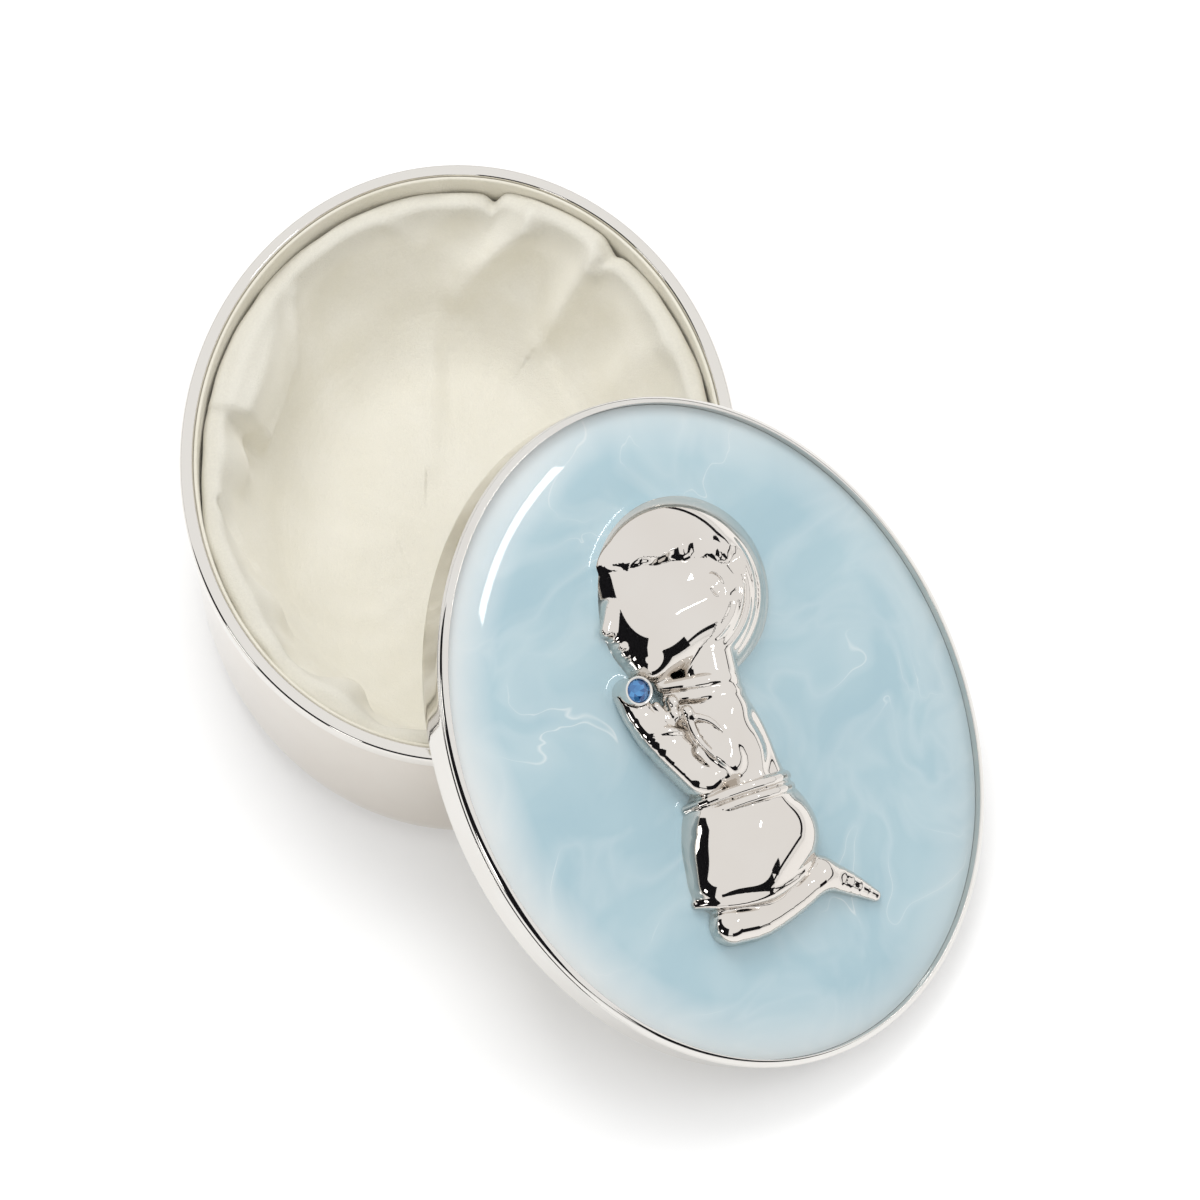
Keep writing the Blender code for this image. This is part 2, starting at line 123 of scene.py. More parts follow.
# The floor's own brightness, and the world's where it lights the scene
FLOOR_GLOW = 0.2
WORLD_LIGHT = 0.72


def find_lid_matrix():
    # The lid's own frame, from the lean angles and the extent of the lid's solid.
    turn = Matrix.Rotation(LEAN_HEADING, 4, "Z") @ Matrix.Rotation(LEAN_TILT, 4, "Y")
    turn = turn @ Matrix.Rotation(LID_TURN - math.pi / 2, 4, "Z")
    back = turn.inverted()
    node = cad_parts["lid_shell"]
    corners = [back @ (node.matrix_world @ vertex.co) for vertex in node.data.vertices]
    low = Vector(min(corner[axis] for corner in corners) for axis in range(3))
    high = Vector(max(corner[axis] for corner in corners) for axis in range(3))
    middle = Vector(((low.x + high.x) / 2, (low.y + high.y) / 2, low.z + LIP_DEPTH))
    return Matrix.Translation(turn @ middle) @ turn


LID = find_lid_matrix()
# From the figure's own frame, along, across and above the enamel in millimetres, to the lid's
FIGURE =Matrix.Translation((-FIGURE_PLACE[1], FIGURE_PLACE[0], ENAMEL_TOP))
FIGURE = FIGURE @ Matrix.Rotation(FIGURE_TURN + math.pi / 2, 4, "Z") @ Matrix.Scale(MM, 4)


# Node helpers

def new_material(name):
    material = bpy.data.materials.new(name)
    material.use_nodes = True
    tree = material.node_tree
    return material, tree, tree.nodes["Principled BSDF"]


def set_input(tree, socket, value):
    # Links a value that is a node's output, and sets any other.
    if hasattr(value, "is_linked"):
        tree.links.new(value, socket)
    else:
        socket.default_value = value


def set_inputs(tree, node, values):
    for key, value in values.items():
        set_input(tree, node.inputs[key], value)


def add_node(tree, kind, inputs=None, **settings):
    node = tree.nodes.new(kind)
    for key, value in settings.items():
        setattr(node, key, value)
    set_inputs(tree, node, inputs or {})
    return node


def calculate(tree, operation, *values):
    inputs = dict(enumerate(values))
    return add_node(tree, "ShaderNodeMath", inputs, operation=operation).outputs[0]


def object_place(tree, scale=1.0):
    # Object coordinates in millimetres, times scale.
    place = add_node(tree, "ShaderNodeTexCoord")
    mapping = add_node(tree, "ShaderNodeMapping", {"Vector": place.outputs["Object"]})
    mapping.inputs["Scale"].default_value = [scale / MM] * 3
    return mapping.outputs["Vector"]


def noise(tree, place, scale, detail=3.0, roughness=0.5, distortion=0.0):
    inputs = {"Vector": place, "Scale": scale, "Detail": detail, "Roughness": roughness,
              "Distortion": distortion}
    return add_node(tree, "ShaderNodeTexNoise", inputs)


def spread(tree, value, low, high, to_low=0.0, to_high=1.0):
    inputs = {"Value": value, "From Min": low, "From Max": high,
              "To Min": to_low, "To Max": to_high}
    return add_node(tree, "ShaderNodeMapRange", inputs).outputs["Result"]


def mix_colour(tree, factor, first, second):
    node = add_node(tree, "ShaderNodeMix", data_type="RGBA")
    for key, value in (("Factor", factor), ("A", first), ("B", second)):
        set_input(tree, node.inputs[key], (*value, 1.0) if isinstance(value, tuple) else value)
    return node.outputs["Result"]


def bump(tree, shader, height, strength, distance):
    inputs = {"Height": height, "Strength": strength, "Distance": distance}
    node = add_node(tree, "ShaderNodeBump", inputs)
    tree.links.new(node.outputs["Normal"], shader.inputs["Normal"])


def silver_material(name, colour, roughness, scratch=0.02, rim=None):
    material, tree, shader = new_material(name)
    place = object_place(tree)
    cloud = noise(tree, place, 0.12, 3.0)
    tone = spread(tree, cloud.outputs["Fac"], 0.3, 0.7)
    warm = tuple(part * shift for part, shift in zip(colour, (0.97, 0.96, 0.95)))
    base = mix_colour(tree, tone, warm, colour)
    if rim:
        # Painted highlight: the cup's rim band is given a brighter silver than its wall.
        parts = add_node(tree, "ShaderNodeSeparateXYZ", {0: object_place(tree, MM)})
        foot = BOX_HEIGHT - RIM_BAND
        share = spread(tree, parts.outputs["Z"], foot, foot + 0.2 * MM)
        base = mix_colour(tree, share, base, rim)
    smear = noise(tree, place, 0.5, 4.0, 0.6)
    rough = spread(tree, smear.outputs["Fac"], 0.35, 0.75, roughness * 0.7, roughness * 1.5)
    set_inputs(tree, shader, {"Base Color": base, "Metallic": 1.0, "Roughness": rough})
    fine = noise(tree, place, 2.4, 4.0, 0.7)
    bump(tree, shader, fine.outputs["Fac"], 0.05, scratch * MM)
    return material


def velvet_material(name, colour, shade, painted_edge_shade=False):
    material, tree, shader = new_material(name)
    place = object_place(tree)
    cloud = noise(tree, place, 0.16, 4.0, 0.55)
    tone = spread(tree, cloud.outputs["Fac"], 0.32, 0.68)
    pile = noise(tree, place, 3.2, 3.0, 0.7)
    speck = spread(tree, pile.outputs["Fac"], 0.25, 0.75)
    base = mix_colour(tree, tone, shade, colour)
    if painted_edge_shade:
        # Painted shade: where the stored tone is low, along the upper edge and partly over the
        # floor, the colour is darkened towards flat, a darker copy of the shade colour.
        unshaded_share = add_node(tree, "ShaderNodeAttribute", attribute_name="tone").outputs["Fac"]
        flat = tuple(part * 0.74 for part in shade)
        base = mix_colour(tree, unshaded_share, mix_colour(tree, 0.85, base, flat), base)
    darker = tuple(part * 0.93 for part in shade)
    base = mix_colour(tree, speck, mix_colour(tree, 0.55, base, darker), base)
    set_inputs(tree, shader, {
        "Base Color": base, "Roughness": 0.9, "Specular IOR Level": 0.15,
        "Sheen Weight": 0.5, "Sheen Roughness": 0.45, "Sheen Tint": (1.0, 0.98, 0.92, 1.0)})
    fibre = noise(tree, place, 5.5, 4.0, 0.75)
    height = calculate(tree, "ADD", fibre.outputs["Fac"], pile.outputs["Fac"])
    bump(tree, shader, height, 0.55, 0.12 * MM)
    return material


def enamel_material(name):
    material, tree, shader = new_material(name)
    place = object_place(tree)
    # The pattern is warped by a slow noise, which draws it out into swirls.
    swirled = noise(tree, place, 0.045, 2.0, 0.5).outputs["Color"]
    for operation, inputs in (("SUBTRACT", {1: (0.5, 0.5, 0.5)}), ("SCALE", {"Scale": 24.0}),
                              ("ADD", {1: place})):
        inputs = {0: swirled, **inputs}
        swirled = add_node(tree, "ShaderNodeVectorMath", inputs, operation=operation).outputs[0]
    clouds = noise(tree, swirled, 0.07, 5.0, 0.5, 0.4)
    tone = spread(tree, clouds.outputs["Fac"], 0.36, 0.66)
    blue = mix_colour(tree, tone, *ENAMEL_BLUES)
    # Fine veins in some places, and a haze round them everywhere
    veins = noise(tree, swirled, 0.075, 3.0, 0.45, 0.6)
    ridge = calculate(tree, "SUBTRACT", veins.outputs["Fac"], 0.5)
    ridge = calculate(tree, "ABSOLUTE", ridge)
    line = spread(tree, ridge, 0.0, 0.007, 0.8, 0.0)
    patch = noise(tree, place, 0.06, 2.0)
    where = spread(tree, patch.outputs["Fac"], 0.50, 0.62)
    thin = calculate(tree, "MULTIPLY", line, where)
    haze = spread(tree, ridge, 0.0, 0.09, 0.2, 0.0)
    pearled = mix_colour(tree, calculate(tree, "MAXIMUM", thin, haze), blue, ENAMEL_VEIN)
    # The stored edge value mixes in the pale edge colour, partly painted highlight.
    edge = add_node(tree, "ShaderNodeAttribute", attribute_name="edge").outputs["Fac"]
    set_inputs(tree, shader, {
        "Base Color": mix_colour(tree, edge, pearled, ENAMEL_PALE_EDGE_AND_HIGHLIGHT), "Roughness": 0.28,
        "Specular IOR Level": 0.5, "Coat Weight": 1.0, "Coat Roughness": 0.02,
        "Sheen Weight": 0.1, "Subsurface Weight": 0.15, "Subsurface Radius": (1.0, 1.2, 1.4),
        "Subsurface Scale": 0.6 * MM})
    flow = noise(tree, place, 0.22, 2.0)
    bump(tree, shader, flow.outputs["Fac"], 0.12, 0.08 * MM)
    return material


def stone_material(name):
    material, tree, shader = new_material(name)
    # Painted reflection: the facets are coloured between the two blues by a stored value, for the
    # reflections inside the stone.
    facet = add_node(tree, "ShaderNodeAttribute", attribute_name="facet").outputs["Fac"]
    set_inputs(tree, shader, {
        "Base Color": mix_colour(tree, facet, *STONE_BLUES), "Metallic": 0.35,
        "Roughness": 0.06, "Coat Weight": 1.0, "Coat Roughness": 0.01})
    cloud = noise(tree, object_place(tree), 2.0, 2.0)
    bump(tree, shader, cloud.outputs["Fac"], 0.05, 0.02 * MM)
    return material


def card_material(name):
    material, tree, shader = new_material(name)
    fibres = noise(tree, object_place(tree), 1.5, 5.0, 0.7)
    base = mix_colour(tree, fibres.outputs["Fac"], *CARD_BROWNS)
    set_inputs(tree, shader, {"Base Color": base, "Roughness": 0.85})
    bump(tree, shader, fibres.outputs["Fac"], 0.3, 0.1 * MM)
    return material


# Mesh helpers

def link_object(name, data):
    item = bpy.data.objects.new(name, data)
    bpy.context.scene.collection.objects.link(item)
    return item


def store_values(piece, name, domain, values):
    mark = piece.data.attributes.new(name, "FLOAT", domain)
    mark.data.foreach_set("value", np.array(values, dtype=np.float32))


def make_piece(name, vertices, faces, material, matrix=None, smooth_angle=None):
    mesh = bpy.data.meshes.new(name)
    mesh.from_pydata([tuple(vertex) for vertex in vertices], [], faces)
    mesh.update()
    shape = bmesh.new()
    shape.from_mesh(mesh)
    bmesh.ops.recalc_face_normals(shape, faces=shape.faces)
    shape.to_mesh(mesh)
    shape.free()
    if matrix is not None:
        mesh.transform(matrix)
    mesh.materials.append(material)
    mesh.shade_smooth()
    if smooth_angle is not None:
        mesh.set_sharp_from_angle(angle=math.radians(smooth_angle))
    return link_object(name, mesh)


def oval_points(inset, angles):
    # Points of the box's oval, moved straight inwards by inset.
    normal_x = np.cos(angles) * HALF_LENGTH
    normal_y = np.sin(angles) * HALF_WIDTH
    size = np.hypot(normal_x, normal_y)
    x = HALF_WIDTH * np.cos(angles) - normal_x / size * inset
    y = HALF_LENGTH * np.sin(angles) - normal_y / size * inset
    return x, y


def rounded_path(corners, steps=6):
    # Rounds each (inset, height, radius) corner of an open path with an arc.
    points = []
    for number, (inset, height, radius) in enumerate(corners):
        corner = Vector((inset, height))
        if radius <= 0 or number in (0, len(corners) - 1):
            points.append(corner)
            continue
        before = (Vector(corners[number - 1][:2]) - corner).normalized()
        after = (Vector(corners[number + 1][:2]) - corner).normalized()
        half = before.angle(after) / 2
        reach = radius / math.tan(half)
        centre = corner + (before + after).normalized() * (radius / math.sin(half))
        start = corner + before * reach - centre
        end = corner + after * reach - centre
        sweep = start.angle_signed(end)
        for step in range(steps + 1):
            turn = -sweep * step / steps
            spun = Vector((start.x * math.cos(turn) - start.y * math.sin(turn),
                           start.x * math.sin(turn) + start.y * math.cos(turn)))
            points.append(centre + spun)
    return points


def denser(points, longest):
    # Adds points so that no step of the path is longer than longest.
    result = [points[0]]
    for first, second in zip(points, points[1:]):
        parts = max(1, math.ceil((second - first).length / longest))
        result += [first.lerp(second, part / parts) for part in range(1, parts + 1)]
    return result


def oval_skin(path, ring=False):
    # Vertices and faces of a shell that follows path, as (inset, height), round the oval.
    angles = np.arange(ROUND_STEPS) * math.tau / ROUND_STEPS
    vertices = []
    for point in path:
        x, y = oval_points(point.x, angles)
        vertices += list(zip(x, y, np.full(ROUND_STEPS, point.y)))
    return vertices, ring_faces(len(path), ROUND_STEPS, ring)


def ring_faces(rows, steps, ring=False, caps=True):
    # Faces between rows of vertices, closed into a ring or capped at both ends.
    faces = []
    pairs = [(row, row + 1) for row in range(rows - 1)]
    if ring:
        pairs.append((rows - 1, 0))
    for lower, upper in pairs:
        for step in range(steps):
            following = (step + 1) % steps
            faces.append((lower * steps + step, lower * steps + following,
                          upper * steps + following, upper * steps + step))
    if not ring and caps:
        faces.append(tuple(reversed(range(steps))))
        faces.append(tuple(range((rows - 1) * steps, rows * steps)))
    return faces


def fan_faces(start, steps, tip):
    # Triangles from a row of vertices to one more vertex.
    return [(start + step, start + (step + 1) % steps, tip) for step in range(steps)]


# Silver cup and the strip round its wall

def build_cup(silver):
    step_at = BOX_HEIGHT - RIM_BAND
    corners = [
        (22 * MM, 0.35 * MM, 0),
        (9.2 * MM, 0.35 * MM, 0.1 * MM),
        (8.8 * MM, 0, 0.15 * MM),
        (RIM_STEP, 0, 6.4 * MM),
        (RIM_STEP, step_at - RIM_STEP, 0.1 * MM),
        (0, step_at, 0.12 * MM),
        (0, BOX_HEIGHT, 0.55 * MM),
        (WALL, BOX_HEIGHT, 0.4 * MM),
        (WALL, FLOOR, 4.4 * MM),
        (24 * MM, FLOOR, 0),
    ]
    path = denser(rounded_path(corners, 10), 1.2 * MM)
    vertices, faces = oval_skin(path)
    cup = make_piece("silver_cup", vertices, faces, silver, smooth_angle=50)
    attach(cup, "box")
    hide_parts("box_body")


def build_strip(velvet):
    outer = WALL + 0.03 * MM
    top = BOX_HEIGHT - STRIP_DROP
    foot = CLOTH_FOOT + 6.2 * MM
    corners = [
        (outer, foot + 1 * MM, 0),
        (outer, top, 0.2 * MM),
        (STRIP_INNER, top, 0.25 * MM),
        (STRIP_INNER, foot, 0.2 * MM),
        (outer, foot, 0),
    ]
    path = denser(rounded_path(corners, 4), 1.0 * MM)
    vertices, faces = oval_skin(path, ring=True)
    strip = make_piece("velvet_strip", vertices, faces, velvet)
    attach(strip, "box")
    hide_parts("wall_lining")


# Gathered velvet sheet with its folds written out: a place is an angle round the cup and a depth
# in millimetres from the sheet's upper edge, measured along the cloth

# Ridges: from, to, width, height in mm, and how much steeper their far side is
RIDGES = (
    ((1.20, 2.5), (1.54, 14.0), 2.7, 2.5, 1.0),
    ((0.86, 2.5), (1.00, 19.0), 3.0, 2.1, 0.7),
    ((0.44, 3.0), (0.60, 17.0), 3.2, 0.6, 1.0),
    ((2.36, 3.0), (2.62, 14.0), 2.0, 0.8, 1.0),
    ((1.86, 1.5), (1.72, 7.0), 2.0, 0.8, 1.0),
    ((5.0, 2.0), (5.2, 12.0), 2.2, 1.0, 0.8),
    ((5.8, 2.0), (5.65, 12.0), 2.2, 1.0, 0.8),
    ((0.1, 2.5), (0.2, 14.0), 2.0, 1.0, 0.6),
    ((3.24, 1.5), (3.40, 8.0), 1.0, -1.0, 1.0),
)
# Bulges and hollows: angle, depth, radius round the cup and down it, height in mm
BULGES = (
    (2.64, 5.5, 7.5, 5.0, 1.5),
    (3.06, 5.0, 3.2, 3.6, 1.5),
    (3.62, 6.0, 3.4, 4.0, 1.5),
    (4.11, 6.0, 3.6, 4.5, 2.4),
    (3.87, 5.0, 2.4, 4.0, -0.6),
    (4.36, 5.0, 2.6, 4.0, -0.6),
    (2.12, 10.0, 7.5, 5.0, -1.3),
    (1.50, 6.0, 3.6, 2.6, -0.9),
    (1.16, 10.5, 3.6, 4.0, -1.4),
    (0.72, 13.0, 4.6, 5.0, -1.3),
    (0.28, 10.0, 4.4, 5.0, -0.5),
)
# Soft creases across the floor: from and to in the box's plane, width and height, all in mm
CREASES = (
    ((-2.6, 30.0), (-4.2, 10.0), 4.0, 1.7),
    ((8.0, 28.5), (14.0, 15.0), 3.2, 1.3),
    ((-15.0, 20.0), (-9.0, 2.0), 6.0, 0.7),
)
TUCK_ANGLE = 2.89
TUCK_DEPTH = 2.3


def smooth_noise(x, y, seed, scale):
    # A sum of a few slow waves, the same each run.
    maker = np.random.default_rng(seed)
    total = np.zeros_like(x)
    for _ in range(7):
        angle = maker.uniform(0, math.tau)
        wave = scale * maker.uniform(0.6, 1.6)
        phase = maker.uniform(0, math.tau)
        total += np.sin((x * math.cos(angle) + y * math.sin(angle)) * wave + phase)
    return total / 7


def wrap(angle):
    return (angle + math.pi) % math.tau - math.pi


def sheet_path():
    # From the hem tucked behind the edge, over it, down the wall and onto the floor.
    top = BOX_HEIGHT - CLOTH_DROP
    outer = STRIP_INNER + 0.2 * MM
    foot = CLOTH_FOOT + 0.5 * MM
    corners = [
        (outer, top - 6 * MM, 0),
        (outer, top, 0.9 * MM),
        (outer + 2.3 * MM, top, 0.95 * MM),
        (outer + 4.5 * MM, top - 6 * MM, 7 * MM),
        (outer + 10.4 * MM, foot, 9 * MM),
        (outer + 17.8 * MM, foot, 0),
    ]
    return denser(rounded_path(corners, 8), 0.42 * MM), top, foot


def segment_reach(x, y, first, second):
    # Distance to a segment, its side, and how far along it, from 0 to 1.
    way_x, way_y = second[0] - first[0], second[1] - first[1]
    share = ((x - first[0]) * way_x + (y - first[1]) * way_y) / (way_x ** 2 + way_y ** 2)
    held = np.clip(share, 0, 1)
    gap = np.hypot(x - first[0] - held * way_x, y - first[1] - held * way_y)
    side = (x - first[0]) * way_y - (y - first[1]) * way_x
    return gap, side, held


def fold_height(angles, depth):
    # How far the cloth stands off its plain shape, in mm, at each angle for one depth.
    round_way = (HALF_WIDTH + HALF_LENGTH) / 2 / MM
    lift = np.zeros_like(angles)
    for first, second, width, height, steep in RIDGES:
        middle = (first[0] + second[0]) / 2
        x = wrap(angles - middle) * round_way
        start = ((first[0] - middle) * round_way, first[1])
        end = ((second[0] - middle) * round_way, second[1])
        gap, side, along = segment_reach(x, np.full_like(x, depth), start, end)
        spread_out = np.where(side < 0, width * steep, width) * (0.7 + 0.5 * along)
        lift += height * np.exp(-(gap / spread_out) ** 2) * (1 - 0.5 * along)
    for middle, deep, wide, tall, height in BULGES:
        x = wrap(angles - middle) * round_way / wide
        y = (depth - deep) / tall
        lift += height * np.exp(-(x ** 2 + y ** 2) ** 1.3)
    # The upper length of the sheet laps over the lower one and ends in an open tuck.
    x = wrap(angles - TUCK_ANGLE)
    lap = ramp(x, -0.5, -0.05) * (1 - ramp(x, 0.0, 0.035))
    lift += TUCK_DEPTH * lap * ramp(depth, 0.5, 3.0) * (1 - ramp(depth, 9.0, 13.0))
    hollow = ramp(x, 0.0, 0.03) * (1 - ramp(x, 0.05, 0.16))
    lift -= 1.1 * hollow * ramp(depth, 6.0, 8.0) * (1 - ramp(depth, 10.0, 15.0))
    return lift


def edge_shift(angles):
    # Between two notches the edge stands higher, close under the rim.
    close = ramp(angles, 0.82, 0.86) * (1 - ramp(angles, 1.34, 1.38))
    notch = sum(np.exp(-(wrap(angles - middle) / 0.035) ** 2) for middle in (0.85, 1.37))
    lap = ramp(angles, 2.3, 2.8) * (1 - ramp(angles, TUCK_ANGLE, TUCK_ANGLE + 0.03))
    rise = 0.75 * close - 0.9 * notch + 0.5 * lap
    inward = -0.4 * close + 0.5 * notch
    return rise * MM, inward * MM


def build_sheet(velvet):
    steps = SHEET_STEPS
    angles = np.arange(steps) * math.tau / steps
    path, top, foot = sheet_path()
    over = int(np.argmax([point.y for point in path]))
    lengths = np.concatenate([[0], np.cumsum([(b - a).length for a, b in zip(path, path[1:])])])
    rise, inward = edge_shift(angles)
    wave = 0.5 * np.sin(7 * angles + 0.4) + 0.4 * np.sin(12 * angles + 2.1)
    wave += 0.35 * np.sin(19 * angles + 4.4) + 0.25 * np.sin(33 * angles + 1.2)
    vertices = []
    tones = []
    for number, point in enumerate(path):
        depth = (lengths[number] - lengths[over]) / MM
        way = path[min(number + 1, len(path) - 1)] - path[max(number - 1, 0)]
        way.normalize()
        # The side that faces into the cup, and up on the floor
        out = Vector((-way.y, way.x)) if number >= over else Vector((0, 1))
        share = max(0.0, (point.y - foot) / (top - foot))
        near = math.exp(-(depth / 5.0) ** 2)
        lift = fold_height(angles, max(depth, 0.0)) * ramp(depth, -1.0, 2.5)
        across, along = 33 * np.cos(angles) * 1.3, 33 * np.sin(angles) * 1.3
        crumple = smooth_noise(across, along + depth, 9, 0.5)
        lift += crumple * 0.22 * ramp(depth, 0.0, 2.0)
        lift += smooth_noise(angles * 36, np.full(steps, depth * 1.4), 3, 0.9) * 0.10 * near
        inset = point.x + lift * MM * out.x + inward * near + wave * 0.28 * MM * near
        inset = np.maximum(inset, STRIP_INNER + 0.05 * MM)
        height = point.y + lift * MM * out.y + rise * near + wave * 0.30 * MM * near
        x, y = oval_points(inset, angles)
        height = height + floor_waves(x / MM, y / MM) * MM * (1 - share) ** 2
        vertices += list(zip(x, y, height))
        # Painted shade: the stored tone darkens the velvet's colour most along the upper edge, by
        # about half on the floor, and not on the wall.
        wall = ramp(depth, 1.5, 6.0) * (1 - 0.5 * ramp(1 - share, 0.75, 1.0))
        tones += [0.1 + 0.9 * float(wall)] * steps
    # From the end of the path the rows shrink to the middle of the floor.
    last = np.array(vertices[-steps:])
    rest = last[:, 2] - floor_waves(last[:, 0] / MM, last[:, 1] / MM) * MM - foot
    rows = 60
    for row in range(1, rows):
        share = 1 - row / rows
        x = last[:, 0] * share
        y = last[:, 1] * share
        z = foot + rest * share ** 3 + floor_waves(x / MM, y / MM) * MM
        vertices += list(zip(x, y, z))
    total_rows = len(path) + rows - 1
    faces = ring_faces(total_rows, steps, caps=False)
    vertices.append((0, 0, float(np.mean([vertex[2] for vertex in vertices[-steps:]]))))
    faces += fan_faces((total_rows - 1) * steps, steps, len(vertices) - 1)
    sheet = make_piece("velvet_sheet", vertices, faces, velvet)
    tones += [tones[-1]] * (len(vertices) - len(tones))
    store_values(sheet, "tone", "POINT", tones)
    thick = sheet.modifiers.new("thick", "SOLIDIFY")
    thick.thickness = 0.45 * MM
    thick.offset = -1.0
    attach(sheet, "box")
    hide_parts("gathered_lining")


def floor_waves(x, y):
    # The slack of the sheet over the floor, in mm.
    lift = smooth_noise(x, y, 5, 0.11) * 0.45 + 0.35
    for first, second, width, height in CREASES:
        gap, side, along = segment_reach(x, y, first, second)
        steep = np.where(side < 0, width * 0.45, width)
        lift = lift + height * np.exp(-(gap / steep) ** 2) * (1 - 0.6 * along)
    return lift


# Lid: shell, enamel, lining

def build_lid_shell(silver):
    groove = LID_HEIGHT - BEAD_WIDTH
    slopes = [math.radians(slope) for slope in BEAD_SLOPES]
    crest = slopes[0]
    bead = []
    for slope in slopes:
        inset = BEAD_CREST - BEAD_ARC * (math.sin(slope) - math.sin(crest))
        height = LID_HEIGHT - 0.04 * MM - BEAD_ARC * (math.cos(crest) - math.cos(slope))
        bead.append((inset, height, 0))
    corners = [
        (BEAD_WIDTH + 3 * MM, PLATE_TOP, 0),
        (BEAD_WIDTH, PLATE_TOP, 0.1 * MM),
        (BEAD_WIDTH, LID_HEIGHT, 0.1 * MM),
        *bead,
        (0.04 * MM, groove, 0.1 * MM),
        (0.2 * MM, groove - 0.12 * MM, 0.08 * MM),
        (0, groove - 0.3 * MM, 0.15 * MM),
        (0, 0, 0.3 * MM),
        (LID_WALL, 0, 0.3 * MM),
        (LID_WALL, PLATE_FOOT, 0.1 * MM),
        (LIP_OUTER, PLATE_FOOT, 0.1 * MM),
        (LIP_OUTER, -LIP_DEPTH, 0.2 * MM),
        (LIP_INNER, -LIP_DEPTH, 0.2 * MM),
        (LIP_INNER, PLATE_FOOT, 0.1 * MM),
        (LIP_INNER + 3 * MM, PLATE_FOOT, 0),
    ]
    path = denser(rounded_path(corners, 8), 0.8 * MM)
    vertices, faces = oval_skin(path)
    shell = make_piece("lid_silver_shell", vertices, faces, silver, LID, smooth_angle=50)
    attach(shell, "lid")
    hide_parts("lid_shell")


def build_enamel(enamel):
    steps = ENAMEL_STEPS
    angles = np.arange(steps) * math.tau / steps
    inset_edge = BEAD_WIDTH + 0.03 * MM
    rows = [(inset_edge, ENAMEL_TOP - 0.9 * MM, 1.0)]
    reach = HALF_WIDTH - inset_edge
    for row in range(ENAMEL_ROWS):
        inset = inset_edge + reach * (row / ENAMEL_ROWS)
        near = max(0.0, 1 - (inset - inset_edge) / ENAMEL_BAND)
        rows.append((inset, ENAMEL_TOP - ENAMEL_SAG * near ** 2, near))
    back = FIGURE.inverted()
    # The pale edge is partly the enamel's colour and partly painted highlight, weighted strongest
    # on the lid's side that lies to the camera's left.
    left = 0.62 + 0.38 * np.cos(angles + 0.25)
    vertices = []
    edge = []
    for inset, height, near in rows:
        keep = min(inset, HALF_WIDTH - ENAMEL_CORE)
        x, y = oval_points(keep, angles)
        if inset > keep:
            shrink = (HALF_WIDTH - inset) / ENAMEL_CORE
            x = x * shrink
            y = y * shrink
        z = np.full(steps, height)
        if inset > inset_edge:
            u = back[0][0] * x + back[0][1] * y + back[0][3]
            v = back[1][0] * x + back[1][1] * y + back[1][3]
            outside = figure_distance(u, v, np.full(steps, 0.25))
            setting = np.hypot(u - STONE_PLACE[0], v - STONE_PLACE[1]) - BEZEL_OUTER / MM
            outside = np.minimum(outside, setting)
            z += MENISCUS_HEIGHT * np.exp(-np.clip(outside, 0, 9) / MENISCUS_REACH)
            z += smooth_noise(u, v, 11, 0.35) * 0.012 * MM
        vertices += list(zip(x, y, z))
        band = near * 1.3 - 0.3 + 0.2 * smooth_noise(x / MM, y / MM, 21, 0.3)
        edge += list(np.clip(band, 0, 1) * left)
    faces = ring_faces(len(rows), steps, caps=False)
    vertices.append((0, 0, ENAMEL_TOP))
    edge.append(0.0)
    faces += fan_faces((len(rows) - 1) * steps, steps, len(vertices) - 1)
    faces.append(tuple(reversed(range(steps))))
    panel = make_piece("pearl_enamel", vertices, faces, enamel, LID, smooth_angle=70)
    store_values(panel, "edge", "POINT", edge)
    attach(panel, "lid")
    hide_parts("enamel_panel")


def build_lid_lining(velvet):
    inset = LIP_INNER + 0.12 * MM
    corners = [
        (24 * MM, LINING_FOOT + 0.6 * MM, 0),
        (inset, LINING_FOOT + 0.6 * MM, 0.1 * MM),
        (inset, LINING_FOOT, 0.4 * MM),
        (inset + 4 * MM, LINING_FOOT - 0.05 * MM, 0),
        (24 * MM, LINING_FOOT - 0.05 * MM, 0),
    ]
    path = denser(rounded_path(corners, 5), 1.5 * MM)
    vertices, faces = oval_skin(path)
    lining = make_piece("lid_velvet_card", vertices, faces, velvet, LID)
    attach(lining, "lid")
    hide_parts("lid_lining")


# Kneeling child, as a smooth distance field in millimetres: along, across, above the enamel

def ball(u, v, w, centre, radii):
    a = (u - centre[0]) / radii[0]
    b = (v - centre[1]) / radii[1]
    c = (w - centre[2]) / radii[2]
    near = np.sqrt(a * a + b * b + c * c)
    slope = np.sqrt((a / radii[0]) ** 2 + (b / radii[1]) ** 2 + (c / radii[2]) ** 2)
    return near * (near - 1) / np.maximum(slope, 1e-6)


def curved(line, steps=3):
    # More points along a smooth curve through the points of a line
    points = [np.array(point, dtype=float) for point in line]
    points = [2 * points[0] - points[1], *points, 2 * points[-1] - points[-2]]
    made = []
    for a, b, c, d in zip(points, points[1:], points[2:], points[3:]):
        for step in range(steps):
            t = step / steps
            bend = (2 * a - 5 * b + 4 * c - d) * t ** 2 + (3 * b - 3 * c + d - a) * t ** 3
            made.append(b + 0.5 * ((c - a) * t + bend))
    made.append(points[-2])
    return made


